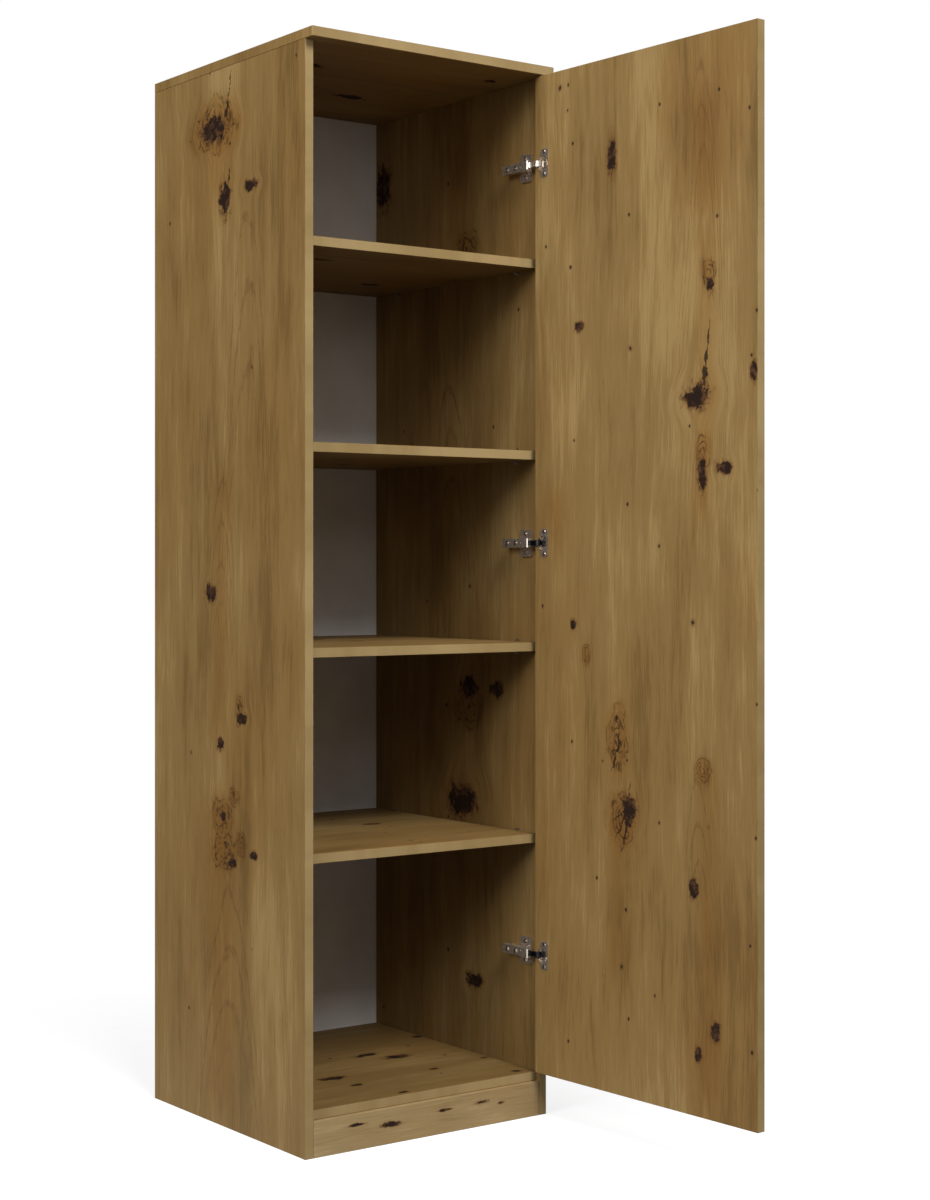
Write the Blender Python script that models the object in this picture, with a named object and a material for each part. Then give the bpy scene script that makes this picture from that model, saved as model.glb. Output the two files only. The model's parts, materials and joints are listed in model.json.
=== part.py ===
"""A tall pantry cabinet with one overlay door on three concealed cup hinges, shown with the door open.

Frame: +X to the right, +Y to the wall, +Z up. The origin is on the floor, on the cabinet's centreline,
in the middle of the plinth's thickness. Lengths are in metres.
"""

import math

import bmesh
import bpy
from mathutils import Matrix, Vector

# The carcass
WIDTH = 0.500
HEIGHT = 1.800
SIDE_DEPTH = 0.480
TOP_OVERHANG = 0.020  # the top reaches forward over the closed door
BOARD = 0.016
BACK_BOARD = 0.003
BACK_INSET = 0.003  # the back stays this far inside the outer edges
PLINTH_HEIGHT = 0.059
SETBACK = 0.007  # shelves and bottom stand back from the sides' front edges
LOWEST_SHELF_TOP = 0.484
SHELF_PITCH = 0.3295
SHELF_COUNT = 4
FIT = 0.0003  # between pieces that touch
EDGE = 0.0006  # the chamfer that edge banding leaves

# The door
DOOR_GAP = 0.002  # in front of the carcass, and above and below
DOOR_REVEAL = 0.0015  # the carcass shows this much at each side of the closed door
OPEN_ANGLE = math.radians(93)

# The hinges. "In" is measured from the right side's inner face, "back" from its front edge.
HINGE_HEIGHTS = {"upper": 1.632, "middle": 0.984, "lower": 0.280}
OUTER_PIVOT_IN, OUTER_PIVOT_BACK = 0.02082, 0.01372
INNER_PIVOT_IN, INNER_PIVOT_BACK = 0.02172, 0.00462
OUTER_SWING = math.radians(-37.66)  # how far each link turns as the door opens
INNER_SWING = math.radians(-29.25)
# Where the links enter the cup, from the door's hinge edge and from its inner face
OUTER_CUP_FROM_EDGE, OUTER_CUP_DEPTH = 0.00975, 0.0020
INNER_CUP_FROM_EDGE, INNER_CUP_DEPTH = 0.01180, 0.00711
# Each link's curve leaves its two ends along these, with the door open
OUTER_HANDLES = ((0.0100, -0.02163), (-0.01055, -0.00006))
INNER_HANDLES = ((0.00999, -0.01568), (-0.02106, 0.0026))
CUP_FROM_EDGE = 0.0185  # from the door's edge to the cup's centre
CUP_RADIUS = 0.0127
CUP_DEPTH = 0.0119
CUP_WALL = 0.0008
CUP_RIM_RADIUS = 0.0134
CUP_RIM_THICK = 0.0007
CUP_HOLE_RADIUS = 0.0130
CUP_HOLE_DEPTH = 0.0122
FLANGE_HEIGHT = 0.048
FLANGE_WIDTH = 0.018
FLANGE_THICK = 0.0009
FLANGE_FROM_EDGE = 0.0235  # its far edge is straight and just clears the cup's rim
CUP_SCREW_SPACING = 0.038
CUP_SCREW_DEPTH = 0.0115
SCREW_HOLE_RADIUS = 0.0021
CUP_NOTCH_DEPTH = 0.0008  # the rim is cut this far below the door's face where the inner link passes
LINK_THICK = 0.0016
LINK_HALF_HEIGHT = 0.0045
EYE_RADIUS = 0.0017
PIN_RADIUS = 0.0011
OUTER_CUP_PIN_HALF, INNER_CUP_PIN_HALF = 0.0061, 0.0055
ARM_STAND_OFF = 0.021  # the arm's face, in from the side
ARM_BULGE = 0.0045  # the arm's front rises this much more, over the pivots
ARM_THICK = 0.0015
ARM_HALF_HEIGHT = 0.0076
ARM_FRONT, ARM_BACK = 0.0015, 0.0745
PLATE_WING_THICK = 0.005
PLATE_FRONT, PLATE_BACK = 0.014, 0.045
PLATE_HALF_HEIGHT = 0.0235
PLATE_SCREW_SPACING = 0.032
PLATE_SCREW_BACK = 0.0295
PLATE_SCREW_DEPTH = 0.0105
PLATE_HOLE_RADIUS = 0.0023

# The shelf supports
SUPPORT_BACKS = {"front": 0.057, "rear": 0.409}
SUPPORT_PIN_RADIUS = 0.0025
SUPPORT_PIN_LENGTH = 0.008
SUPPORT_PLATE = 0.0008
SUPPORT_WIDTH = 0.008
SUPPORT_LEDGE = 0.0075
SUPPORT_LIP = 0.0022

FRONT = -BOARD / 2
SIDE_INNER = WIDTH / 2 - BOARD
UNDER_TOP = HEIGHT - BOARD
BOTTOM_TOP = PLINTH_HEIGHT + BOARD
DOOR_WIDTH = WIDTH - 2 * DOOR_REVEAL
DOOR_EDGE = DOOR_WIDTH / 2
DOOR_INNER = FRONT - DOOR_GAP
DOOR_LOW = BOTTOM_TOP + DOOR_GAP
DOOR_HIGH = UNDER_TOP - DOOR_GAP


def remove_everything():
    for found in list(bpy.data.objects):
        bpy.data.objects.remove(found)


def material(name, colour, roughness, metallic=0.0):
    made = bpy.data.materials.new(name)
    made.use_nodes = True
    shader = made.node_tree.nodes["Principled BSDF"]
    shader.inputs["Base Color"].default_value = (*colour, 1)
    shader.inputs["Roughness"].default_value = roughness
    shader.inputs["Metallic"].default_value = metallic
    return made


def axis_empty(name, place, angle=0.0):
    """An empty on a vertical joint axis, for the pieces that turn about it."""
    empty = bpy.data.objects.new(name, None)
    bpy.context.collection.objects.link(empty)
    empty.location = place
    empty.rotation_euler.z = angle
    return empty


def solid(name, shape, finish, origin, parent=None, smooth=False):
    """An object from a bmesh drawn in the closed cabinet's frame, with its origin at the given point."""
    bmesh.ops.remove_doubles(shape, verts=shape.verts, dist=4e-6)
    bmesh.ops.recalc_face_normals(shape, faces=shape.faces)
    bmesh.ops.translate(shape, verts=shape.verts, vec=-Vector(origin))
    mesh = bpy.data.meshes.new(name)
    shape.to_mesh(mesh)
    shape.free()
    if smooth:
        mesh.shade_smooth()
        mesh.set_sharp_from_angle(angle=math.radians(35))
    if finish:
        mesh.materials.append(finish)
    made = bpy.data.objects.new(name, mesh)
    bpy.context.collection.objects.link(made)
    made.location = origin
    if parent:
        made.parent = parent
        made.location = Vector(origin) - Vector(parent["closed_place"])
    return made


def boolean(target, shape, operation="DIFFERENCE"):
    """Cuts a bmesh drawn in the closed cabinet's frame from the object, or joins it on."""
    origin = Vector(target.location)
    if target.parent:
        origin += Vector(target.parent["closed_place"])
    helper = solid(f"{target.name}_{operation.lower()}", shape, None, origin, target.parent)
    helper.hide_render = True
    helper.display_type = "WIRE"
    step = target.modifiers.new(operation.title(), "BOOLEAN")
    step.operation = operation
    step.object = helper


def box(shape, low, high):
    low, high = Vector(low), Vector(high)
    placed = Matrix.Translation((low + high) / 2) @ Matrix.Diagonal((*(high - low), 1))
    bmesh.ops.create_cube(shape, size=1, matrix=placed)


def rod(shape, start, end, radius, sides=12):
    start, end = Vector(start), Vector(end)
    turn = (end - start).to_track_quat("Z", "Y").to_matrix().to_4x4()
    placed = Matrix.Translation((start + end) / 2) @ turn
    length = (end - start).length
    bmesh.ops.create_cone(
        shape, cap_ends=True, segments=sides, radius1=radius, radius2=radius, depth=length, matrix=placed
    )


def prism(shape, outline, along, low, high):
    """A closed outline of (a, b) points, drawn across the named axis and extruded along it."""

    def place(a, b, height):
        return {"X": (height, a, b), "Y": (a, height, b), "Z": (a, b, height)}[along]

    corners = [shape.verts.new(place(a, b, low)) for a, b in outline]
    face = shape.faces.new(corners)
    grown = bmesh.ops.extrude_face_region(shape, geom=[face])["geom"]
    moved = [item for item in grown if isinstance(item, bmesh.types.BMVert)]
    bmesh.ops.translate(shape, verts=moved, vec=Vector(place(0, 0, high - low)))


def turned(shape, profile, start, direction, sides=12):
    """A profile of (radius, height) points from axis to axis, turned about a line."""
    turn = Vector(direction).to_track_quat("Z", "Y").to_matrix().to_4x4()
    placed = Matrix.Translation(start) @ turn
    points = [shape.verts.new(placed @ Vector((radius, 0, height))) for radius, height in profile]
    edges = [shape.edges.new(pair) for pair in zip(points, points[1:])]
    bmesh.ops.spin(
        shape,
        geom=points + edges,
        cent=start,
        axis=placed.to_3x3() @ Vector((0, 0, 1)),
        angle=math.tau,
        steps=sides,
        use_merge=True,
    )


def rounded_rectangle(half_a, half_b, radius, steps=4):
    corners = ((1, 1, 0), (-1, 1, 90), (-1, -1, 180), (1, -1, 270))
    outline = []
    for sign_a, sign_b, first in corners:
        for step in range(steps + 1):
            angle = math.radians(first + 90 * step / steps)
            a = sign_a * (half_a - radius) + radius * math.cos(angle)
            b = sign_b * (half_b - radius) + radius * math.sin(angle)
            outline.append((a, b))
    return outline


def board(name, low, high, finish, parent=None):
    shape = bmesh.new()
    box(shape, low, high)
    origin = (Vector(low) + Vector(high)) / 2
    if parent:
        origin = Vector(parent["closed_place"])
    made = solid(name, shape, finish, origin, parent)
    edge = made.modifiers.new("Edge", "BEVEL")
    edge.width = EDGE
    edge.segments = 1
    return made


def screw(name, seat, direction, finish, head_radius, head_height, shank_radius, length, parent=None):
    """A pan-head screw: its head stands on the seat, and its shank follows the direction."""
    sides = 10
    cut = 0.45 * head_radius
    profile = (
        (0, -head_height),
        (0.72 * head_radius, -head_height),
        (head_radius, -0.45 * head_height),
        (head_radius, 0),
        (shank_radius, 0),
        (shank_radius, length - 1.4 * shank_radius),
        (0, length),
    )
    shape = bmesh.new()
    turned(shape, profile, Vector(seat), direction, sides)
    origin = Vector(parent["closed_place"]) if parent else seat
    made = solid(name, shape, finish, origin, parent, smooth=True)
    wide, thin = 1.15 * cut, 0.36 * cut
    cross = ((thin, thin), (thin, wide), (-thin, wide), (-thin, thin), (-wide, thin), (-wide, -thin))
    cross += tuple((-a, -b) for a, b in cross)
    recess = bmesh.new()
    prism(recess, cross, "Z", -2 * head_height, -0.45 * head_height)
    turn = Vector(direction).to_track_quat("Z", "Y").to_matrix().to_4x4()
    bmesh.ops.transform(recess, matrix=Matrix.Translation(seat) @ turn, verts=recess.verts)
    boolean(made, recess)
    return made


def shelf_tops():
    return [LOWEST_SHELF_TOP + SHELF_PITCH * (SHELF_COUNT - 1 - count) for count in range(SHELF_COUNT)]


def support_places():
    """(shelf number, side sign, place name, y, shelf underside) of each shelf support."""
    for number, top in enumerate(shelf_tops(), 1):
        for side in (-1, 1):
            for place, back in SUPPORT_BACKS.items():
                yield number, side, place, FRONT + back, top - BOARD


def make_carcass(oak, white):
    deep = FRONT + SIDE_DEPTH
    sides = {}
    for name, side in (("left_side_panel", -1), ("right_side_panel", 1)):
        outer, inner = side * WIDTH / 2, side * SIDE_INNER
        low = (min(outer, inner), FRONT, 0)
        high = (max(outer, inner), deep, UNDER_TOP - FIT)
        sides[side] = board(name, low, high, oak)
    board("top_panel", (-WIDTH / 2, FRONT - TOP_OVERHANG, UNDER_TOP), (WIDTH / 2, deep, HEIGHT), oak)
    across = SIDE_INNER - FIT
    board("bottom_panel", (-across, FRONT + SETBACK, PLINTH_HEIGHT), (across, deep, BOTTOM_TOP), oak)
    board("plinth", (-across, FRONT, 0), (across, FRONT + BOARD, PLINTH_HEIGHT - FIT), oak)
    shelf_across = SIDE_INNER - SUPPORT_PLATE - 2 * FIT
    for number, top in enumerate(shelf_tops(), 1):
        low = (-shelf_across, FRONT + SETBACK, top - BOARD)
        board(f"shelf_{number}", low, (shelf_across, deep - FIT, top), oak)
    back = bmesh.new()
    half = WIDTH / 2 - BACK_INSET
    box(back, (-half, deep + FIT, PLINTH_HEIGHT), (half, deep + FIT + BACK_BOARD, HEIGHT - BACK_INSET))
    solid("back_panel", back, white, (0, deep + FIT, HEIGHT / 2))
    return sides


def drill_sides(sides):
    """Blind holes for the shelf supports in both sides, and for the hinge plates' screws in the right one."""
    cutters = {side: bmesh.new() for side in sides}
    for _, side, _, back, under in support_places():
        height = under - SUPPORT_PIN_RADIUS - 2 * FIT
        mouth = side * (SIDE_INNER - 0.001)
        end = side * (SIDE_INNER + SUPPORT_PIN_LENGTH + FIT)
        rod(cutters[side], (mouth, back, height), (end, back, height), SUPPORT_PIN_RADIUS + FIT, 10)
    for _, height in plate_screw_places():
        y = FRONT + PLATE_SCREW_BACK
        mouth, end = SIDE_INNER - 0.001, SIDE_INNER + PLATE_SCREW_DEPTH
        rod(cutters[1], (mouth, y, height), (end, y, height), PLATE_HOLE_RADIUS, 10)
    for side, cutter in cutters.items():
        boolean(sides[side], cutter)


def plate_screw_places():
    for hinge, height in HINGE_HEIGHTS.items():
        for name, sign in (("top", 1), ("bottom", -1)):
            yield f"{hinge}_hinge_plate_screw_{name}", height + sign * PLATE_SCREW_SPACING / 2


def make_shelf_supports(steel):
    """Each support is a pin in the side, a plate down the shelf's end, a ledge under it and a lip over it."""
    for number, side, place, y, under in support_places():
        face = side * (SIDE_INNER - FIT)
        plate = side * (SIDE_INNER - FIT - SUPPORT_PLATE)
        ledge = plate - side * SUPPORT_LEDGE
        lip = plate - side * SUPPORT_LIP
        low = under - 2 * SUPPORT_PIN_RADIUS - 4 * FIT
        over = under + BOARD + FIT
        outline = (
            (face, low),
            (plate, low),
            (ledge, under - 0.0018),
            (ledge, under - FIT),
            (plate, under - FIT),
            (plate, over),
            (lip, over),
            (lip, over + 0.0012),
            (plate, over + 0.0035),
            (face, over + 0.0035),
        )
        shape = bmesh.new()
        prism(shape, outline, "Y", y - SUPPORT_WIDTH / 2, y + SUPPORT_WIDTH / 2)
        name = f"shelf_{number}_support_{'right' if side > 0 else 'left'}_{place}"
        made = solid(name, shape, steel, (face, y, under))
        pin = bmesh.new()
        height = under - SUPPORT_PIN_RADIUS - 2 * FIT
        tip = side * (SIDE_INNER + SUPPORT_PIN_LENGTH)
        rod(pin, (face - side * SUPPORT_PLATE / 2, y, height), (tip, y, height), SUPPORT_PIN_RADIUS, 10)
        boolean(made, pin, "UNION")


def make_door(oak, door_axis):
    """The door panel, drilled for its three hinge cups and their screws."""
    low = (-DOOR_EDGE, DOOR_INNER - BOARD, DOOR_LOW)
    high = (DOOR_EDGE, DOOR_INNER, DOOR_HIGH)
    door = board("door_panel", low, high, oak, door_axis)
    cutter = bmesh.new()
    mouth = DOOR_INNER + 0.001
    cup_x = DOOR_EDGE - CUP_FROM_EDGE
    screw_x = DOOR_EDGE - FLANGE_FROM_EDGE
    floor = DOOR_INNER - CUP_HOLE_DEPTH
    for height in HINGE_HEIGHTS.values():
        rod(cutter, (cup_x, mouth, height), (cup_x, floor, height), CUP_HOLE_RADIUS, 28)
        for sign in (1, -1):
            z = height + sign * CUP_SCREW_SPACING / 2
            end = DOOR_INNER - CUP_SCREW_DEPTH
            rod(cutter, (screw_x, mouth, z), (screw_x, end, z), SCREW_HOLE_RADIUS, 10)
    boolean(door, cutter)


def make_cup(hinge, height, nickel, door_axis):
    """The cup in the door, with the flange that its screws hold."""
    centre = DOOR_EDGE - CUP_FROM_EDGE
    back = DOOR_INNER + FIT
    face = back + FLANGE_THICK
    profile = (
        (0, CUP_DEPTH),
        (CUP_RADIUS - 0.0012, CUP_DEPTH),
        (CUP_RADIUS, CUP_DEPTH - 0.0012),
        (CUP_RADIUS, 0),
        (CUP_RIM_RADIUS, 0),
        (CUP_RIM_RADIUS, -CUP_RIM_THICK),
        (CUP_RADIUS - CUP_WALL, -CUP_RIM_THICK),
        (CUP_RADIUS - CUP_WALL, CUP_DEPTH - CUP_WALL),
        (0, CUP_DEPTH - CUP_WALL),
    )
    shape = bmesh.new()
    turned(shape, profile, Vector((centre, back, height)), (0, -1, 0), 28)
    cup = solid(f"{hinge}_hinge_cup", shape, nickel, door_axis["closed_place"], door_axis, smooth=True)
    flange = bmesh.new()
    middle = DOOR_EDGE - FLANGE_FROM_EDGE
    outline = [
        (middle + a, height + b) for a, b in rounded_rectangle(FLANGE_WIDTH / 2, FLANGE_HEIGHT / 2, 0.005)
    ]
    prism(flange, outline, "Y", back + 0.0001, face)
    boolean(cup, flange, "UNION")
    holes = bmesh.new()
    mouth = CUP_RADIUS - CUP_WALL + 0.0003
    rod(holes, (centre, back - 0.0004, height), (centre, face + 0.001, height), mouth, 28)
    for sign in (1, -1):
        z = height + sign * CUP_SCREW_SPACING / 2
        rod(holes, (middle, back - 0.002, z), (middle, face + 0.002, z), SCREW_HOLE_RADIUS, 10)
    boolean(cup, holes)
    notch = bmesh.new()
    half = LINK_HALF_HEIGHT + 0.0012
    low = (centre - FLANGE_WIDTH, DOOR_INNER - CUP_NOTCH_DEPTH, height - half)
    box(notch, low, (centre - CUP_RADIUS + 0.0035, face + 0.001, height + half))
    boolean(cup, notch)
    for name, sign in (("top", 1), ("bottom", -1)):
        z = height + sign * CUP_SCREW_SPACING / 2
        seat = (middle, face + 0.0001, z)
        screw_name = f"{hinge}_hinge_cup_screw_{name}"
        screw(screw_name, seat, (0, -1, 0), nickel, 0.0034, 0.0008, 0.0018, 0.012, door_axis)


def strap_outline(start, start_handle, end_handle, end, steps=16):
    """A strap of even thickness along a cubic curve, with a round eye at each end."""
    points = []
    for step in range(steps + 1):
        part = 0.5 - 0.5 * math.cos(math.pi * step / steps)
        near = start * (1 - part) ** 3 + start_handle * 3 * (1 - part) ** 2 * part
        far = end_handle * 3 * (1 - part) * part**2 + end * part**3
        points.append(near + far)
    run = [0.0]
    for one, two in zip(points, points[1:]):
        run.append(run[-1] + (two - one).length)
    left, right = [], []
    for index, point in enumerate(points):
        ahead = points[min(index + 1, steps)] - points[max(index - 1, 0)]
        across = Vector((-ahead.y, ahead.x)).normalized()
        from_end = min(run[index], run[-1] - run[index])
        eye = math.sqrt(max(EYE_RADIUS**2 - from_end**2, 0))
        half = max(LINK_THICK / 2, eye)
        left.append(point + across * half)
        right.append(point - across * half)

    def cap(centre, first):
        arm = first - centre
        return [centre + Matrix.Rotation(-math.pi * k / 7, 2) @ arm for k in range(1, 7)]

    return left + cap(end, left[-1]) + right[::-1] + cap(start, right[0])


def make_link(name, start, end, handles, finish, parent, cup_pin_half):
    """A link of the hinge, drawn with the door open, with a pivot pin at each end."""
    first = start.xy
    last = end.xy
    outline = strap_outline(first, first + Vector(handles[0]), last + Vector(handles[1]), last)
    shape = bmesh.new()
    prism(shape, outline, "Z", start.z - LINK_HALF_HEIGHT, start.z + LINK_HALF_HEIGHT)
    made = solid(name, shape, finish, parent["closed_place"], parent, smooth=True)
    pins = bmesh.new()
    for place, half in ((start, ARM_HALF_HEIGHT + 0.0003), (end, cup_pin_half)):
        reach = Vector((0, 0, half))
        rod(pins, place - reach, place + reach, PIN_RADIUS, 12)
    boolean(made, pins, "UNION")


def make_arm(hinge, height, outer_pivot, inner_pivot, nickel):
    """The channel-shaped arm that carries both pivots, with its two screws."""
    face = SIDE_INNER - ARM_STAND_OFF
    raised = face - ARM_BULGE
    front, back = FRONT + ARM_FRONT, FRONT + ARM_BACK
    nose = outer_pivot.x + 0.0036
    cheek_back = outer_pivot.y + 0.004
    outer = (
        (raised + 0.0015, front),
        (raised, front + 0.0015),
        (raised, cheek_back),
        (raised + 0.0005, cheek_back + 0.0015),
        (face - 0.0005, cheek_back + 0.0060),
        (face, cheek_back + 0.0075),
        (face, back),
    )
    lower = (
        (face + 0.0085, back),
        (face + 0.0095, outer_pivot.y + 0.016),
        (nose, cheek_back),
        (nose, front + 0.002),
        (nose - 0.002, front),
    )
    outline = outer + lower
    shape = bmesh.new()
    prism(shape, outline, "Z", height - ARM_HALF_HEIGHT, height + ARM_HALF_HEIGHT)
    arm = solid(f"{hinge}_hinge_arm", shape, nickel, (face, back, height))
    hollow = bmesh.new()
    inside = ARM_HALF_HEIGHT - ARM_THICK
    room = [(x + ARM_THICK, y) for x, y in outer[2:]]
    room = [(room[0][0], front - 0.01), *room[:-1], (room[-1][0], back + 0.01)]
    room += [(nose + 0.02, back + 0.01), (nose + 0.02, front - 0.01)]
    prism(hollow, room, "Z", height - inside, height + inside)
    boolean(arm, hollow)
    holes = bmesh.new()
    for pivot in (outer_pivot, inner_pivot):
        low, high = height - 2 * ARM_HALF_HEIGHT, height + 2 * ARM_HALF_HEIGHT
        rod(holes, (pivot.x, pivot.y, low), (pivot.x, pivot.y, high), PIN_RADIUS + FIT, 12)
    boolean(arm, holes)
    screws = bmesh.new()
    for _, y, radius in arm_screws():
        rod(screws, (face - 0.001, y, height), (face + ARM_THICK + 0.001, y, height), radius + FIT, 12)
    boolean(arm, screws)


def arm_screws():
    """(name, y, shank radius) of the adjusting screw and the fixing screw on each arm."""
    return (("adjusting", FRONT + 0.038, 0.0024), ("fixing", FRONT + 0.060, 0.0024))


def make_plate(hinge, height, outer_pivot, nickel):
    """The mounting plate: two wings on the side panel, and the block that the arm is fixed to."""
    wing = SIDE_INNER - FIT - PLATE_WING_THICK
    middle = FRONT + (PLATE_FRONT + PLATE_BACK) / 2
    half = (PLATE_BACK - PLATE_FRONT) / 2
    outline = [(middle + a, height + b) for a, b in rounded_rectangle(half, PLATE_HALF_HEIGHT, 0.006)]
    shape = bmesh.new()
    prism(shape, outline, "X", wing, SIDE_INNER - FIT)
    plate = solid(f"{hinge}_hinge_plate", shape, nickel, (SIDE_INNER, middle, height))
    block = bmesh.new()
    clear = ARM_HALF_HEIGHT - ARM_THICK - FIT
    top = SIDE_INNER - ARM_STAND_OFF + ARM_THICK + FIT
    low = (top, outer_pivot.y + 0.0125, height - clear)
    high = (SIDE_INNER - FIT - 0.0001, FRONT + ARM_BACK - 0.004, height + clear)
    box(block, low, high)
    boolean(plate, block, "UNION")
    holes = bmesh.new()
    for sign in (1, -1):
        z = height + sign * PLATE_SCREW_SPACING / 2
        y = FRONT + PLATE_SCREW_BACK
        rod(holes, (wing - 0.001, y, z), (SIDE_INNER + 0.001, y, z), PLATE_HOLE_RADIUS, 10)
    for _, y, radius in arm_screws():
        rod(holes, (top - 0.001, y, height), (top + 0.0125, y, height), radius + FIT, 12)
    boolean(plate, holes)


def make_hinge_screws(nickel):
    for name, height in plate_screw_places():
        seat = (SIDE_INNER - FIT - PLATE_WING_THICK - 0.0001, FRONT + PLATE_SCREW_BACK, height)
        screw(name, seat, (1, 0, 0), nickel, 0.0037, 0.0022, 0.0019, 0.0150)
    for hinge, height in HINGE_HEIGHTS.items():
        for name, y, radius in arm_screws():
            seat = (SIDE_INNER - ARM_STAND_OFF - 0.0001, y, height)
            screw(f"{hinge}_hinge_{name}_screw", seat, (1, 0, 0), nickel, 0.0040, 0.0018, radius, 0.0130)


def make_hinges(nickel, dark_nickel, oak):
    outer = Vector((SIDE_INNER - OUTER_PIVOT_IN, FRONT + OUTER_PIVOT_BACK, 0))
    inner = Vector((SIDE_INNER - INNER_PIVOT_IN, FRONT + INNER_PIVOT_BACK, 0))
    cup_closed = Vector((DOOR_EDGE - OUTER_CUP_FROM_EDGE, DOOR_INNER - OUTER_CUP_DEPTH, 0))
    inner_closed = Vector((DOOR_EDGE - INNER_CUP_FROM_EDGE, DOOR_INNER - INNER_CUP_DEPTH, 0))
    cup_open = outer + Matrix.Rotation(OUTER_SWING, 3, "Z") @ (cup_closed - outer)
    inner_open = inner + Matrix.Rotation(INNER_SWING, 3, "Z") @ (inner_closed - inner)
    door_axis = axis_empty("door_axis", cup_open, OPEN_ANGLE)
    door_axis["closed_place"] = cup_closed
    outer_axis = axis_empty("outer_link_axis", outer)
    outer_axis["closed_place"] = outer
    inner_axis = axis_empty("inner_link_axis", inner)
    inner_axis["closed_place"] = inner
    make_door(oak, door_axis)
    for hinge, height in HINGE_HEIGHTS.items():
        up = Vector((0, 0, height))
        make_cup(hinge, height, nickel, door_axis)
        make_arm(hinge, height, outer, inner, nickel)
        make_plate(hinge, height, outer, nickel)
        finish = nickel if hinge == "upper" else dark_nickel
        links = (
            ("outer", outer, cup_open, OUTER_HANDLES, outer_axis, OUTER_CUP_PIN_HALF),
            ("inner", inner, inner_open, INNER_HANDLES, inner_axis, INNER_CUP_PIN_HALF),
        )
        for name, start, end, handles, axis, pin in links:
            make_link(f"{hinge}_hinge_{name}_link", start + up, end + up, handles, finish, axis, pin)
    make_hinge_screws(nickel)


def main():
    remove_everything()
    oak = material("oak_board", (0.36, 0.25, 0.13), 0.55)
    white = material("white_hardboard", (0.75, 0.74, 0.72), 0.6)
    nickel = material("nickel_plate", (0.62, 0.60, 0.57), 0.25, 1.0)
    dark_nickel = material("dark_nickel", (0.10, 0.10, 0.10), 0.35, 1.0)
    steel = material("zinc_plate", (0.55, 0.55, 0.55), 0.35, 1.0)
    sides = make_carcass(oak, white)
    drill_sides(sides)
    make_shelf_supports(steel)
    make_hinges(nickel, dark_nickel, oak)


main()
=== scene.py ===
"""Looks for the pantry cabinet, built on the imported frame. Metres, +Z up, +Y to the wall, +X to the right."""

import json
import math

import bpy
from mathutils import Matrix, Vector


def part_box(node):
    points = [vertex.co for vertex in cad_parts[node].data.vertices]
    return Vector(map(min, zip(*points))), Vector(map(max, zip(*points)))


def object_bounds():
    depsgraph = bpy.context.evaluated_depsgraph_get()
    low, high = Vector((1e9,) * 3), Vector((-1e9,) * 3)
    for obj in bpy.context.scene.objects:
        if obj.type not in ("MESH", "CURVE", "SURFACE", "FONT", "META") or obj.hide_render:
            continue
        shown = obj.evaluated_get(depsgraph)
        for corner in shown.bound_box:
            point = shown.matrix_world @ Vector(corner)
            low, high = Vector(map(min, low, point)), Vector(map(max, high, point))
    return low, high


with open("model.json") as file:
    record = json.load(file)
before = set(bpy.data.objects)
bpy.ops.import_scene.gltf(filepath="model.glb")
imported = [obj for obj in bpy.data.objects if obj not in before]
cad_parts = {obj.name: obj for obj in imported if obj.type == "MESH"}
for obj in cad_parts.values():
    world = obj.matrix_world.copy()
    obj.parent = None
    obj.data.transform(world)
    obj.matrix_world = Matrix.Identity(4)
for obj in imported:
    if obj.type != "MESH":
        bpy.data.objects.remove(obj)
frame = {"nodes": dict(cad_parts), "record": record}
CAD_BOX = [list(corner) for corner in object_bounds()]

# The photographer's place and lens
CAMERA_PLACE = (-2.12275, -2.80711, 0.94371)
CAMERA_HEADING = 34.874  # degrees to the right of straight ahead
CAMERA_LENS = 82.02  # for a 36 mm wide sensor
CAMERA_SHIFT = (0.1286, -0.0361)

# Softboxes: degrees to the left of the cabinet's front, degrees up, distance and width in metres, brightness
LIGHTS = {
    "key": (8, 45, 7.2, 3.6, 1.12),
    "side": (84, 22, 10.0, 5.4, 0.77),
    "near": (30, 25, 3.0, 1.5, 0.11),
    "gloss": (52, 8, 8.0, 6.0, 0.22),  # lights gloss only, which is mostly the metal's
}
SKY_POWER = (0.18, 0.02)  # from below, where the floor throws light back, and from above
SKY_CHANGE = (-0.3, 0.3)  # the rises of a direction between which the sky goes from one power to the other

# The floor, in metres from its middle. It glows, so that it shows as bright as the sky behind it
FLOOR_REACH = 1.6
FLOOR_FADE = (1.5, 0.5)  # invisible beyond the first distance, whole within the second
FLOOR_GREY = 0.35
FLOOR_GLOW = 0.80
FLOOR_GAP = 0.0005  # under the cabinet, so that no two faces share a plane

# Knotty oak decor, as base colours in linear light
OAK = ((0.165, 0.096, 0.029), (0.242, 0.147, 0.049), (0.325, 0.216, 0.083))
PALE_OAK = ((0.240, 0.156, 0.064), (0.330, 0.230, 0.107), (0.420, 0.303, 0.152))
OAK_WARM = (0.95, 0.84, 0.70)
STAIN = (0.84, 0.74, 0.60)
KNOT_BROWN = (0.095, 0.040, 0.013)
KNOT_BLACK = (0.017, 0.007, 0.003)
KNOT_FLECK = (0.090, 0.040, 0.016)
EDGE_DARK = (0.260, 0.177, 0.073)
EDGE_LIGHT = (0.338, 0.241, 0.110)
BACK_DARK = (0.60, 0.57, 0.53)
BACK_LIGHT = (0.68, 0.655, 0.62)

# Noises on a board: changes in a metre across the grain and along it, and in one step of the seed
WANDER_RATES = (3.1, 0.8, 1)
WAVER_RATES = (15, 4.5, 1)
RAGGED_RATES = (75, 60, 1)
PATCH_RATES = (8.0, 3.5, 1)
WARM_RATES = (5.0, 2.0, 1)
LUMP_RATES = (42, 30, 1)

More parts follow.
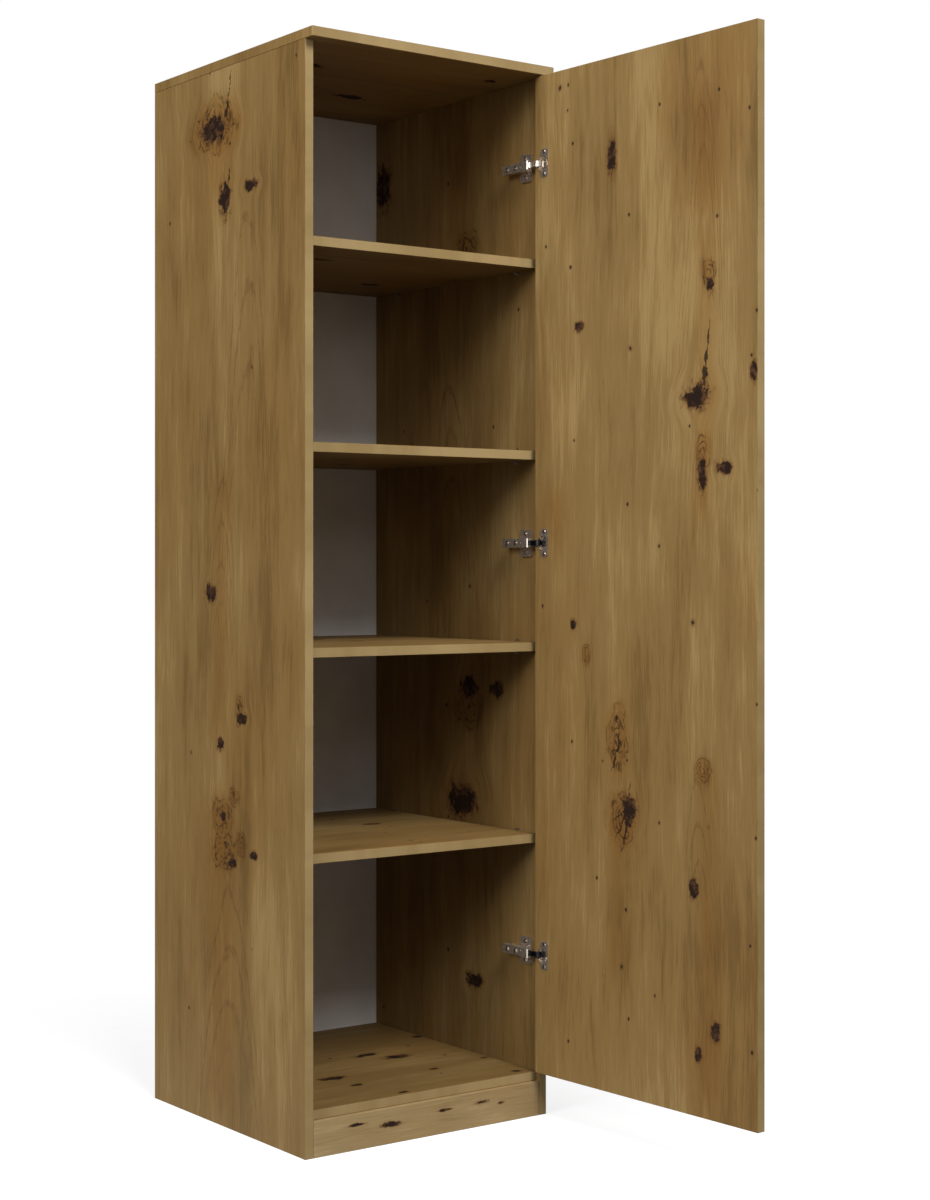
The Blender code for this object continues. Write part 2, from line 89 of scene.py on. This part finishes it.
# Streaks in the bent grain: changes in a metre across it and along it, detail and roughness
BANDS = (9, 1.3, 4, 0.55)
GROWTH = (60, 3.2, 4, 0.6)
FIBRE = (380, 15, 3, 0.65)
PORES = (800, 26, 2, 0.6)
DARK_LINES = (300, 8, 2, 0.6)

# What each adds to the oak's tone, and the tones at which its three colours stand
BAND_WEIGHT, PATCH_WEIGHT, GROWTH_WEIGHT, FIBRE_WEIGHT = 1.02, 0.72, 0.68, 0.70
TONE_PLACES = (0.18, 0.50, 0.82)

# How far the grain sways in metres, and how a large dark knot pushes it aside, in the knot's half sizes
WANDER_REACH = 0.075
WAVER_REACH = 0.010
BENDING_KNOT = 0.0115  # the half width in metres above which a dark knot pushes
PUSH_FADE = (3.6, 0.2)
PUSH_REACH = 0.8

# Knots and swirls, with distances in their own half sizes
FAR_AWAY = 30.0  # the distance where there are none
KNOT_RAGGED = 2.9
SWIRL_RAGGED = 0.55
SWIRL_LUMPS = 1.9
SWIRL_TURNS = 13.0  # radians of the rings' wave in a half size
SWIRL_WAVER = 9.0

# Arches, stains and cracks
ARCH_TURNS = 30.0  # radians of the lines' wave from an arch's top to its length
ARCH_WAVER = 12.0
STAIN_OUTSIDE, STAIN_INSIDE = 0.03, 0.05  # metres over which its ends fade
CRACK_CROOKED = 0.020  # metres

# Pin knots: cells in a metre across and along, and a knot's size in cells
PIN_CELLS = (((15.0, 11.0, 0), 0.034), ((6.5, 5.5, 0), 0.022))
PIN_SPREAD = 0.10  # the share of cells over which the knots go from nothing to their whole size
PIN_RAGGED = 0.06

# The share of cells without a pin knot
FEW_PINS = 0.87
USUAL_PINS = 0.80
MANY_PINS = 0.67

# How strongly each mark covers the oak
ARCH_COVER = 0.45
PIN_COVER = 0.92
LINE_COVER = 0.38
SWIRL_STAIN_COVER = 0.55
RING_COVER = 0.80
SPOT_COVER = 0.85
FRINGE_COVER = 0.80
CRACK_COVER = 0.9

# The shelves' and the bottom's faces are darkened, to stand for shade that the studio's light doesn't give
SHELF_PAINTED_SHADE = 0.84
BOTTOM_PAINTED_SHADE = 0.72

BOARD_SPECULAR = 0.15
BOARD_ROUGHNESS = 0.47
BOARD_RELIEF = 0.00015  # metres
METAL_RELIEF = 0.00004
BACK_RELIEF = 0.00006

# Colour, roughness, seed and how metallic
METALS = {
    "nickel_bright": ((0.78, 0.69, 0.59), 0.21, 3.0, 0.88),
    "screw_steel": ((0.34, 0.27, 0.22), 0.20, 5.0, 1.0),
    # painted shade: these hinge parts are the same nickel as the bright ones, drawn near black
    "nickel_painted_shade": ((0.045, 0.045, 0.048), 0.22, 7.0, 1.0),
    # the shelf supports' zinc, darkened as painted shade
    "zinc_painted_shade": ((0.30, 0.27, 0.23), 0.45, 11.0, 1.0),
}
SLOT_METALS = {"nickel_plate": "nickel_bright", "dark_nickel": "nickel_painted_shade", "zinc_plate": "zinc_painted_shade"}


class Graph:
    """A material's nodes. A value is an output socket, a number or a tuple."""

    def __init__(self, name):
        self.material = bpy.data.materials.new(name)
        self.material.use_nodes = True
        self.tree = self.material.node_tree
        self.shader = self.tree.nodes["Principled BSDF"]
        self.here = self.node("ShaderNodeTexCoord")

    def node(self, kind, **settings):
        made = self.tree.nodes.new(kind)
        for key, value in settings.items():
            setattr(made, key, value)
        return made

    def put(self, socket, value):
        if isinstance(value, bpy.types.NodeSocket):
            self.tree.links.new(value, socket)
        else:
            socket.default_value = value

    def math(self, operation, *values):
        made = self.node("ShaderNodeMath", operation=operation)
        for socket, value in zip(made.inputs, values):
            self.put(socket, value)
        return made.outputs[0]

    def add(self, *values):
        total = values[0]
        for value in values[1:]:
            total = self.math("ADD", total, value)
        return total

    def times(self, *values):
        total = values[0]
        for value in values[1:]:
            total = self.math("MULTIPLY", total, value)
        return total

    def swing(self, noise, reach):
        """A noise around 0.5, turned into a swing to both sides of nothing."""
        return self.times(self.math("SUBTRACT", noise, 0.5), reach)

    def shift(self, value, noise, reach):
        """The value, shifted to both sides by a noise around 0.5."""
        return self.math("MULTIPLY_ADD", self.math("SUBTRACT", noise, 0.5), reach, value)

    def vector(self, operation, *values):
        made = self.node("ShaderNodeVectorMath", operation=operation)
        for socket, value in zip(made.inputs, values):
            self.put(socket, value)
        return made.outputs["Value" if operation == "LENGTH" else "Vector"]

    def split(self, value):
        made = self.node("ShaderNodeSeparateXYZ")
        self.put(made.inputs[0], value)
        return made.outputs

    def join(self, *values):
        made = self.node("ShaderNodeCombineXYZ")
        for socket, value in zip(made.inputs, values):
            self.put(socket, value)
        return made.outputs[0]

    def noise(self, place, rates=None, detail=2, roughness=0.5, colour=False):
        if rates:
            place = self.vector("MULTIPLY", place, rates)
        made = self.node("ShaderNodeTexNoise")
        self.put(made.inputs["Vector"], place)
        self.put(made.inputs["Scale"], 1.0)
        self.put(made.inputs["Detail"], detail)
        self.put(made.inputs["Roughness"], roughness)
        return made.outputs[1 if colour else 0]

    def fade(self, value, low, high, to_low=0.0, to_high=1.0):
        """A smooth step of the value from low to high, which may run downwards."""
        made = self.node("ShaderNodeMapRange", interpolation_type="SMOOTHSTEP")
        if low > high:
            low, high, to_low, to_high = high, low, to_high, to_low
        for socket, item in zip(made.inputs, (value, low, high, to_low, to_high)):
            self.put(socket, item)
        return made.outputs[0]

    def mix(self, factor, one, two, blend="MIX"):
        made = self.node("ShaderNodeMix", data_type="RGBA", blend_type=blend)
        for name, value in (("Factor_Float", factor), ("A_Color", one), ("B_Color", two)):
            socket = next(item for item in made.inputs if item.identifier == name)
            self.put(socket, (*value, 1) if isinstance(value, tuple) else value)
        return next(item for item in made.outputs if item.identifier == "Result_Color")

    def ramp(self, value, *stops):
        made = self.node("ShaderNodeValToRGB")
        made.color_ramp.interpolation = "EASE"
        while len(made.color_ramp.elements) < len(stops):
            made.color_ramp.elements.new(0.5)
        for element, (place, colour) in zip(made.color_ramp.elements, stops):
            element.position = place
            element.color = (*colour, 1)
        self.put(made.inputs[0], value)
        return made.outputs[0]

    def bump(self, height, distance, strength):
        made = self.node("ShaderNodeBump")
        self.put(made.inputs["Strength"], strength)
        self.put(made.inputs["Distance"], distance)
        self.put(made.inputs["Height"], height)
        return made.outputs[0]

    def finish(self, colour, roughness, normal=None, **settings):
        self.put(self.shader.inputs["Base Color"], (*colour, 1) if isinstance(colour, tuple) else colour)
        self.put(self.shader.inputs["Roughness"], roughness)
        if normal:
            self.put(self.shader.inputs["Normal"], normal)
        for name, value in settings.items():
            self.put(self.shader.inputs[name.replace("_", " ")], value)
        return self.material


class Oak(Graph):
    """Knotty oak decor on one board: u runs across the grain and v along it, in metres."""

    def __init__(self, name, across, along, seed, dark_knots, swirls):
        super().__init__(name)
        axes = dict(zip("XYZ", self.split(self.here.outputs["Object"])))
        self.through = next(axis for axis in "XYZ" if axis not in (across, along))
        self.u, self.v, self.seed = axes[across], axes[along], seed
        self.place = self.join(self.u, self.v, seed)
        self.colour = None
        wander = self.noise(self.place, WANDER_RATES, 2)
        self.waver = self.noise(self.place, WAVER_RATES, 3)
        self.ragged = self.split(self.noise(self.place, RAGGED_RATES, 5, 0.68, colour=True))

        # How near the knots are, in their own half sizes, and how far the large dark ones push the grain
        least = {True: FAR_AWAY, False: FAR_AWAY}
        push = 0.0
        for knots, dark in ((dark_knots, True), (swirls, False)):
            for knot_u, knot_v, half_u, half_v in knots:
                scale = Vector((1 / half_u, 1 / half_v, 0))
                centre = Vector((-knot_u / half_u, -knot_v / half_v, 0))
                from_centre = self.vector("MULTIPLY_ADD", self.place, scale, centre)
                far = self.vector("LENGTH", from_centre)
                least[dark] = self.math("MINIMUM", least[dark], far)
                if dark and half_u > BENDING_KNOT:
                    weight = self.fade(far, *PUSH_FADE, 0.0, PUSH_REACH * half_u)
                    push = self.math("MULTIPLY_ADD", self.split(from_centre)[0], weight, push)
        self.to_swirl = least[False]
        uneven = self.swing(self.ragged[0], KNOT_RAGGED)
        self.to_dark = self.add(least[True], uneven)
        self.to_knot = self.math("MINIMUM", self.add(least[False], uneven), self.to_dark)
        flow = self.add(self.u, self.swing(wander, WANDER_REACH), self.swing(self.waver, WAVER_REACH))
        self.flow = self.math("SUBTRACT", flow, push)

    def paint(self, mask, colour, blend="MIX"):
        """Lays a colour over the board where the mask is."""
        self.colour = self.mix(mask, self.colour, colour, blend)

    def streaks(self, across, along, detail, roughness):
        """A noise drawn out along the bent grain."""
        place = self.join(self.times(self.flow, across), self.times(self.v, along), self.seed + across)
        return self.noise(place, None, detail, roughness)

    def grain(self, tones):
        """The oak without its marks."""
        bands = self.streaks(*BANDS)
        patches = self.noise(self.place, PATCH_RATES, 4)
        self.growth = self.streaks(*GROWTH)
        self.fibre = self.streaks(*FIBRE)
        pores = self.streaks(*PORES)
        tone = self.add(
            0.5,
            self.swing(bands, BAND_WEIGHT),
            self.swing(patches, PATCH_WEIGHT),
            self.swing(self.growth, GROWTH_WEIGHT),
            self.swing(self.fibre, FIBRE_WEIGHT),
        )
        self.colour = self.ramp(tone, *zip(TONE_PLACES, tones))
        warm = self.noise(self.place, WARM_RATES, 3)
        self.paint(self.fade(warm, 0.42, 0.70, 0, 0.55), OAK_WARM, "MULTIPLY")
        self.pores = self.fade(pores, 0.62, 0.76, 0, 0.24)
        self.paint(self.pores, KNOT_BROWN)

    def stain(self, stain_u, low, high, half):
        """A reddish streak from its low to its high end."""
        off = self.math("ABSOLUTE", self.math("SUBTRACT", self.flow, stain_u))
        start = self.fade(self.v, low - STAIN_OUTSIDE, low + STAIN_INSIDE)
        end = self.fade(self.v, high + STAIN_OUTSIDE, high - STAIN_INSIDE)
        middle = self.fade(off, 1.6 * half, 0.2 * half)
        streaky = self.fade(self.growth, 0.36, 0.58, 0.45, 1.0)
        self.paint(self.times(middle, self.times(start, end), streaky), STAIN, "MULTIPLY")

    def arch(self, arch_u, top, half, length):
        """The figure of a flat-sawn board: nested fine dark lines under a top."""
        rise = self.math("DIVIDE", self.math("SUBTRACT", top, self.v), length)
        spread = self.math("DIVIDE", self.math("SUBTRACT", self.flow, arch_u), half)
        depth = self.math("SUBTRACT", rise, self.times(spread, spread))
        wave = self.math("SINE", self.add(self.times(depth, ARCH_TURNS), self.times(self.waver, ARCH_WAVER)))
        inside = self.times(self.fade(depth, -0.01, 0.03), self.fade(depth, 0.9, 0.3))
        dashes = self.fade(self.ragged[1], 0.38, 0.62, 0.25, 1.0)
        self.paint(self.times(self.fade(wave, 0.68, 1.0), inside, dashes, ARCH_COVER), KNOT_BROWN)

    def pin_knots(self, pins):
        """Small knots scattered in cells. Returns where they are."""
        near = -1.0
        for rate, size in PIN_CELLS:
            cells = self.node("ShaderNodeTexVoronoi", voronoi_dimensions="2D")
            moved = self.vector("MULTIPLY_ADD", self.place, rate, (self.seed, 2 * self.seed, 0))
            self.put(cells.inputs["Vector"], moved)
            self.put(cells.inputs["Scale"], 1.0)
            self.put(cells.inputs["Randomness"], 1.0)
            luck = self.split(cells.outputs["Color"])[0]
            reach = self.fade(luck, pins, pins + PIN_SPREAD, -0.05, size)
            near = self.math("MAXIMUM", near, self.math("SUBTRACT", reach, cells.outputs["Distance"]))
        near = self.shift(near, self.ragged[1], PIN_RAGGED)
        pin = self.fade(near, -0.002, 0.012)
        self.paint(self.fade(near, -0.030, 0.0, 0, 0.40), KNOT_BROWN)
        self.paint(self.times(pin, PIN_COVER), KNOT_BLACK)
        return pin

    def knot_surround(self):
        """Dark lines and a warm shade round every knot and swirl."""
        lines = self.fade(self.streaks(*DARK_LINES), 0.54, 0.66)
        self.paint(self.times(lines, self.fade(self.to_knot, 2.4, 1.0), LINE_COVER), KNOT_BROWN)
        self.paint(self.fade(self.to_knot, 1.9, 1.0, 0, 0.50), OAK_WARM, "MULTIPLY")

    def swirl_figure(self):
        """Broken dark rings round each swirl's middle, with worn spots in them."""
        lumps = self.noise(self.place, LUMP_RATES, 1)
        swirl = self.shift(self.to_swirl, self.ragged[0], SWIRL_RAGGED)
        swirl = self.shift(swirl, lumps, SWIRL_LUMPS)
        turns = self.math("MULTIPLY_ADD", swirl, SWIRL_TURNS, self.times(self.waver, SWIRL_WAVER))
        ring = self.fade(self.math("SINE", turns), 0.10, 0.85)
        streaky = self.fade(self.fibre, 0.40, 0.56, 0.35, 1.0)
        dashes = self.times(self.fade(self.ragged[2], 0.42, 0.56), streaky)
        within = self.fade(swirl, 1.75, 1.05)
        self.paint(self.times(within, SWIRL_STAIN_COVER), STAIN, "MULTIPLY")
        self.paint(self.times(ring, dashes, within, RING_COVER), KNOT_BLACK)
        spots = self.times(self.fade(self.ragged[1], 0.54, 0.62), self.fade(self.to_knot, 1.40, 0.80))
        self.paint(self.times(spots, self.fade(self.fibre, 0.36, 0.54), SPOT_COVER), KNOT_BLACK)

    def dark_knots(self):
        """A brown fringe and a flecked black middle. Returns where the middles are."""
        broken = self.fade(self.ragged[2], 0.42, 0.58, 0.35, 1.0)
        fringe = self.times(self.fade(self.to_dark, 1.60, 1.05), broken)
        self.paint(self.times(fringe, FRINGE_COVER), KNOT_BROWN)
        hole = self.fade(self.to_dark, 1.12, 0.95)
        self.paint(hole, self.mix(self.fade(self.ragged[1], 0.46, 0.66), KNOT_BLACK, KNOT_FLECK))
        return hole

    def crack(self, crack_u, crack_v, length, lean, half):
        """A crooked dark crack that thins out. Returns where it is."""
        run = self.math("DIVIDE", self.math("SUBTRACT", self.v, crack_v), length)
        inside = self.times(self.math("GREATER_THAN", run, 0.0), self.math("LESS_THAN", run, 1.0))
        middle = self.add(crack_u, self.times(run, lean), self.swing(self.ragged[0], CRACK_CROOKED))
        off = self.math("ABSOLUTE", self.math("SUBTRACT", self.u, middle))
        broken = self.fade(self.ragged[2], 0.36, 0.60, 0.1, 1.0)
        width = self.times(self.math("SUBTRACT", 1.05, run), half, broken)
        mask = self.times(self.fade(self.math("SUBTRACT", width, off), -0.0010, 0.0006), inside)
        self.paint(self.times(mask, CRACK_COVER), KNOT_BLACK)
        return mask

    def finish_board(self, plain, tone, holes):
        """Darkens the faces by tone, which is painted shade, bands the front edges, leaves the other edges
        plain, and adds gloss and relief.
        """
        normal = dict(zip("XYZ", self.split(self.here.outputs["Normal"])))
        edge = self.fade(self.math("ABSOLUTE", normal[self.through]), 0.6, 0.4)
        front = self.fade(normal["Y"], -0.4, -0.7)
        banding = self.add(self.growth, self.swing(self.fibre, 0.5))
        band = self.ramp(banding, (0.3, EDGE_DARK), (0.7, EDGE_LIGHT))
        # painted shade: tone darkens the board's faces, and the edges laid over them below stay undarkened
        if tone != 1.0:
            self.paint(1.0, (tone,) * 3, "MULTIPLY")
        self.paint(edge, self.mix(front, plain, band))
        holes = self.times(holes, self.math("SUBTRACT", 1.0, edge))
        depth = self.add(self.times(self.fibre, 0.5), self.times(self.pores, -1.2), self.times(holes, -1.5))
        rough = self.add(
            BOARD_ROUGHNESS,
            self.times(self.fibre, 0.12),
            self.times(self.growth, 0.06),
            self.times(self.pores, 0.2),
            self.times(holes, 0.2),
        )
        relief = self.bump(depth, BOARD_RELIEF, 0.6)
        return self.finish(self.colour, rough, relief, Specular_IOR_Level=BOARD_SPECULAR)


def oak(name, across, along, seed, dark_knots=(), swirls=(), arches=(), cracks=(), stains=(), tones=OAK,
        pins=USUAL_PINS, tone=1.0):
    """An oak board's material. The grain runs along one axis. Front edges are banded, other edges are plain.

    All in metres: a dark knot or a swirl is (across, along, half width, half height). An arch is (across,
    top, half width, length). A crack is (across, along, length, lean, half width) and runs up from its
    start, or down if its length is negative. A reddish stain is (across, low end, high end, half width).
    """
    board = Oak(name, across, along, seed, dark_knots, swirls)
    board.grain(tones)
    plain = board.colour
    for stain in stains:
        board.stain(*stain)
    for arch in arches:
        board.arch(*arch)
    pin = board.pin_knots(pins)
    hole = 0.0
    if dark_knots or swirls:
        board.knot_surround()
    if swirls:
        board.swirl_figure()
    if dark_knots:
        hole = board.dark_knots()
    for crack in cracks:
        hole = board.math("MAXIMUM", hole, board.crack(*crack))
    # a tone below 1 darkens the board's faces as painted shade
    return board.finish_board(plain, tone, board.math("MAXIMUM", pin, hole))


def metal(name, colour, roughness, seed, metallic):
    """Plated steel with faint drawing marks, small stains and a slightly uneven gloss."""
    g = Graph(name)
    place = g.here.outputs["Object"]
    marks = g.noise(place, (180, 180, 2600), 3, 0.6)
    stains = g.noise(g.vector("ADD", place, (seed, 0, 0)), (140, 140, 140), 4, 0.6)
    worn = g.fade(stains, 0.52, 0.72)
    tint = g.mix(g.times(worn, 0.35), colour, tuple(0.55 * part for part in colour))
    rough = g.add(roughness, g.times(marks, 0.10), g.times(worn, 0.12))
    return g.finish(tint, rough, g.bump(marks, METAL_RELIEF, 0.5), Metallic=metallic)


def hardboard():
    """White-foiled hardboard: a faint mottle and a very fine grain."""
    g = Graph("back_white")
    place = g.here.outputs["Object"]
    mottle = g.noise(place, (9, 9, 9), 4, 0.55)
    grain = g.noise(place, (700, 700, 420), 2, 0.6)
    colour = g.ramp(mottle, (0.3, BACK_DARK), (0.7, BACK_LIGHT))
    rough = g.add(0.50, g.times(grain, 0.12), g.times(mottle, 0.05))
    return g.finish(colour, rough, g.bump(grain, BACK_RELIEF, 0.5))


def dress(node, material):
    target = frame["nodes"][node]
    for slot in target.material_slots:
        slot.material = material
    if not target.material_slots:
        target.data.materials.append(material)


def from_hinged_edge(*rows):
    """Rows whose first number is the distance from the door's hinged edge, with the place along Y instead."""
    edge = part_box("door_panel")[1][1]
    return tuple((edge - out, *rest) for out, *rest in rows)


# ---- the boards ----
dress("left_side_panel", oak(
    "oak_left_side", "Y", "Z", 1.7,
    dark_knots=(
        (0.267, 1.684, 0.036, 0.019), (0.235, 1.560, 0.014, 0.026), (0.155, 1.574, 0.018, 0.008),
        (0.280, 0.900, 0.015, 0.013), (0.180, 0.690, 0.013, 0.009), (0.250, 0.642, 0.009, 0.010),
        (0.210, 0.446, 0.011, 0.008), (0.145, 0.468, 0.010, 0.006), (0.238, 0.522, 0.008, 0.007),
    ),
    swirls=(
        (0.246, 0.520, 0.022, 0.028), (0.236, 0.462, 0.030, 0.026), (0.190, 0.708, 0.010, 0.022),
        (0.270, 1.690, 0.050, 0.034), (0.208, 0.560, 0.012, 0.012), (0.185, 0.480, 0.012, 0.018),
    ),
    arches=((0.250, 1.105, 0.060, 0.34), (0.215, 0.420, 0.110, 0.42), (0.170, 1.560, 0.090, 0.60)),
    cracks=((0.232, 1.700, 0.085, -0.020, 0.005), (0.228, 1.570, 0.045, -0.010, 0.007)),
    stains=((0.250, 0.640, 1.110, 0.034), (0.245, 0.020, 0.560, 0.055), (0.255, 1.540, 1.740, 0.060)),
    pins=FEW_PINS,
))
dress("right_side_panel", oak(
    "oak_right_side", "Y", "Z", 5.2,
    dark_knots=(
        (0.207, 0.523, 0.036, 0.024), (0.185, 0.728, 0.020, 0.018), (0.107, 0.726, 0.016, 0.012),
        (0.450, 1.658, 0.020, 0.034), (0.169, 0.204, 0.018, 0.012),
    ),
    swirls=((0.190, 0.690, 0.030, 0.030), (0.190, 1.512, 0.024, 0.026)),
    arches=((0.240, 1.300, 0.080, 0.40),),
    stains=((0.215, 1.480, 1.740, 0.025),),
))
dress("door_panel", oak(
    "oak_door", "Y", "Z", 9.4,
    dark_knots=from_hinged_edge(
        (0.185, 1.618, 0.008, 0.024), (0.400, 1.385, 0.009, 0.011), (0.373, 1.211, 0.024, 0.018),
        (0.383, 1.090, 0.008, 0.024), (0.430, 1.098, 0.012, 0.009), (0.107, 1.344, 0.009, 0.008),
        (0.094, 0.845, 0.006, 0.008), (0.222, 0.546, 0.014, 0.019), (0.366, 0.436, 0.008, 0.014),
        (0.412, 0.215, 0.008, 0.014), (0.375, 0.175, 0.006, 0.011), (0.490, 1.244, 0.006, 0.014),
    ),
    swirls=from_hinged_edge(
        (0.396, 1.405, 0.012, 0.014), (0.198, 0.655, 0.016, 0.040), (0.385, 1.120, 0.012, 0.022),
        (0.385, 0.620, 0.014, 0.016), (0.125, 0.795, 0.008, 0.012), (0.205, 0.530, 0.022, 0.030),
    ),
    arches=from_hinged_edge(
        (0.375, 1.775, 0.050, 0.42), (0.198, 0.720, 0.030, 0.22), (0.382, 0.620, 0.040, 0.30),
        (0.395, 1.400, 0.024, 0.10),
    ),
    cracks=from_hinged_edge(
        (0.384, 1.222, 0.110, -0.016, 0.006), (0.222, 0.552, 0.040, -0.006, 0.003),
        (0.216, 0.545, -0.022, 0.034, 0.004), (0.217, 0.538, -0.046, 0.026, 0.004),
        (0.220, 0.532, -0.066, 0.014, 0.004), (0.200, 0.640, 0.055, -0.002, 0.003),
        (0.196, 0.642, -0.036, 0.012, 0.004),
    ),
    stains=from_hinged_edge(
        (0.400, 0.090, 0.640, 0.026), (0.205, 0.250, 0.560, 0.030), (0.385, 1.000, 1.460, 0.024),
        (0.185, 1.570, 1.670, 0.010), (0.030, 0.960, 1.090, 0.030), (0.380, 1.500, 1.700, 0.040),
    ),
    pins=MANY_PINS,
))
for count, seed in enumerate((13.1, 17.9, 21.3, 26.6)):
    dress(f"shelf_{count + 1}", oak(
        f"oak_shelf_{count + 1}", "Y", "X", seed,
        dark_knots=(
            (0.12 + 0.05 * count, -0.13 + 0.07 * count, 0.007, 0.014),
            (0.33, 0.12 - 0.06 * count, 0.008, 0.018),
        ),
        tone=SHELF_PAINTED_SHADE,
    ))
dress("top_panel", oak(
    "oak_top", "Y", "X", 31.4,
    dark_knots=((0.30, 0.05, 0.010, 0.024), (0.14, -0.15, 0.012, 0.026), (0.06, 0.18, 0.007, 0.012)),
    arches=((0.22, 0.20, 0.06, 0.40),),
))
dress("bottom_panel", oak(
    "oak_bottom", "Y", "X", 36.8,
    dark_knots=(
        (0.155, -0.085, 0.009, 0.020), (0.262, 0.060, 0.008, 0.022), (0.220, 0.098, 0.010, 0.020),
        (0.018, 0.205, 0.006, 0.008), (0.095, -0.078, 0.005, 0.012), (0.012, -0.040, 0.004, 0.010),
        (0.129, 0.222, 0.004, 0.007), (0.329, 0.225, 0.006, 0.010), (0.112, 0.098, 0.004, 0.009),
    ),
    tone=BOTTOM_PAINTED_SHADE,
))
dress("plinth", oak(
    "oak_plinth", "Z", "X", 41.2,
    dark_knots=(
        (0.041, -0.150, 0.002, 0.014), (0.032, -0.080, 0.004, 0.016), (0.039, 0.030, 0.002, 0.012),
        (0.041, 0.108, 0.003, 0.010), (0.034, 0.150, 0.002, 0.008),
    ),
    tones=PALE_OAK,
))
dress("back_panel", hardboard())

# ---- the hardware ----
metals = {name: metal(name, *settings) for name, settings in METALS.items()}
for entry in frame["record"]["subparts"]:
    chosen = "screw_steel" if "_screw" in entry["node"] else SLOT_METALS.get(entry["material_slot"])
    if chosen:
        dress(entry["node"], metals[chosen])

# ---- the studio ----
floor_mesh = bpy.data.meshes.new("studio_floor")
corners = [(x * FLOOR_REACH, y * FLOOR_REACH, 0) for x, y in ((-1, -1), (1, -1), (1, 1), (-1, 1))]
floor_mesh.from_pydata(corners, [], [(0, 1, 2, 3)])
floor = bpy.data.objects.new("studio_floor", floor_mesh)
floor.location.z = CAD_BOX[0][2] - FLOOR_GAP
floor.visible_diffuse = False
bpy.context.collection.objects.link(floor)
paper = Graph("studio_paper")
away = paper.vector("LENGTH", paper.here.outputs["Object"])
floor_mesh.materials.append(paper.finish(
    (FLOOR_GREY,) * 3,
    0.9,
    Specular_IOR_Level=0.0,
    Emission_Color=(1, 1, 1, 1),
    Emission_Strength=FLOOR_GLOW,
    Alpha=paper.fade(away, *FLOOR_FADE),
))

# The camera sees a white sky. The cabinet is lit by a sky that changes from below to above.
world = bpy.data.worlds.new("studio_sky")
bpy.context.scene.world = world
world.use_nodes = True
sky = world.node_tree
seen = sky.nodes.new("ShaderNodeLightPath")
toward = sky.nodes.new("ShaderNodeTexCoord")
rising = sky.nodes.new("ShaderNodeSeparateXYZ")
sky.links.new(toward.outputs["Generated"], rising.inputs[0])
power = sky.nodes.new("ShaderNodeMapRange")
for socket, value in zip(power.inputs[1:5], (*SKY_CHANGE, *SKY_POWER)):
    socket.default_value = value
sky.links.new(rising.outputs["Z"], power.inputs["Value"])
shown = sky.nodes.new("ShaderNodeMapRange")
sky.links.new(seen.outputs["Is Camera Ray"], shown.inputs["Value"])
sky.links.new(power.outputs[0], shown.inputs["To Min"])
sky.links.new(shown.outputs[0], sky.nodes["Background"].inputs["Strength"])
sky.nodes["Background"].inputs["Color"].default_value = (1, 1, 1, 1)

middle = (Vector(CAD_BOX[0]) + Vector(CAD_BOX[1])) / 2
for name, (heading, height, distance, size, bright) in LIGHTS.items():
    turn, rise = math.radians(heading), math.radians(height)
    aim = Vector((-math.sin(turn) * math.cos(rise), -math.cos(turn) * math.cos(rise), math.sin(rise)))
    data = bpy.data.lights.new(f"studio_{name}", "AREA")
    data.shape = "DISK"
    data.size = size
    data.energy = bright * math.pi**2 * distance**2
    lamp = bpy.data.objects.new(f"studio_{name}", data)
    lamp.location = middle + aim * distance
    lamp.rotation_euler = aim.to_track_quat("Z", "Y").to_euler()
    lamp.visible_diffuse = name != "gloss"
    bpy.context.collection.objects.link(lamp)

camera_data = bpy.data.cameras.new("camera")
camera_data.sensor_fit = "HORIZONTAL"
camera_data.sensor_width = 36
camera_data.lens = CAMERA_LENS
camera_data.shift_x, camera_data.shift_y = CAMERA_SHIFT
camera = bpy.data.objects.new("camera", camera_data)
camera.location = CAMERA_PLACE
camera.rotation_euler = (math.radians(90), 0, math.radians(-CAMERA_HEADING))
bpy.context.collection.objects.link(camera)
bpy.context.scene.camera = camera
bpy.context.scene.view_settings.view_transform = "Standard"
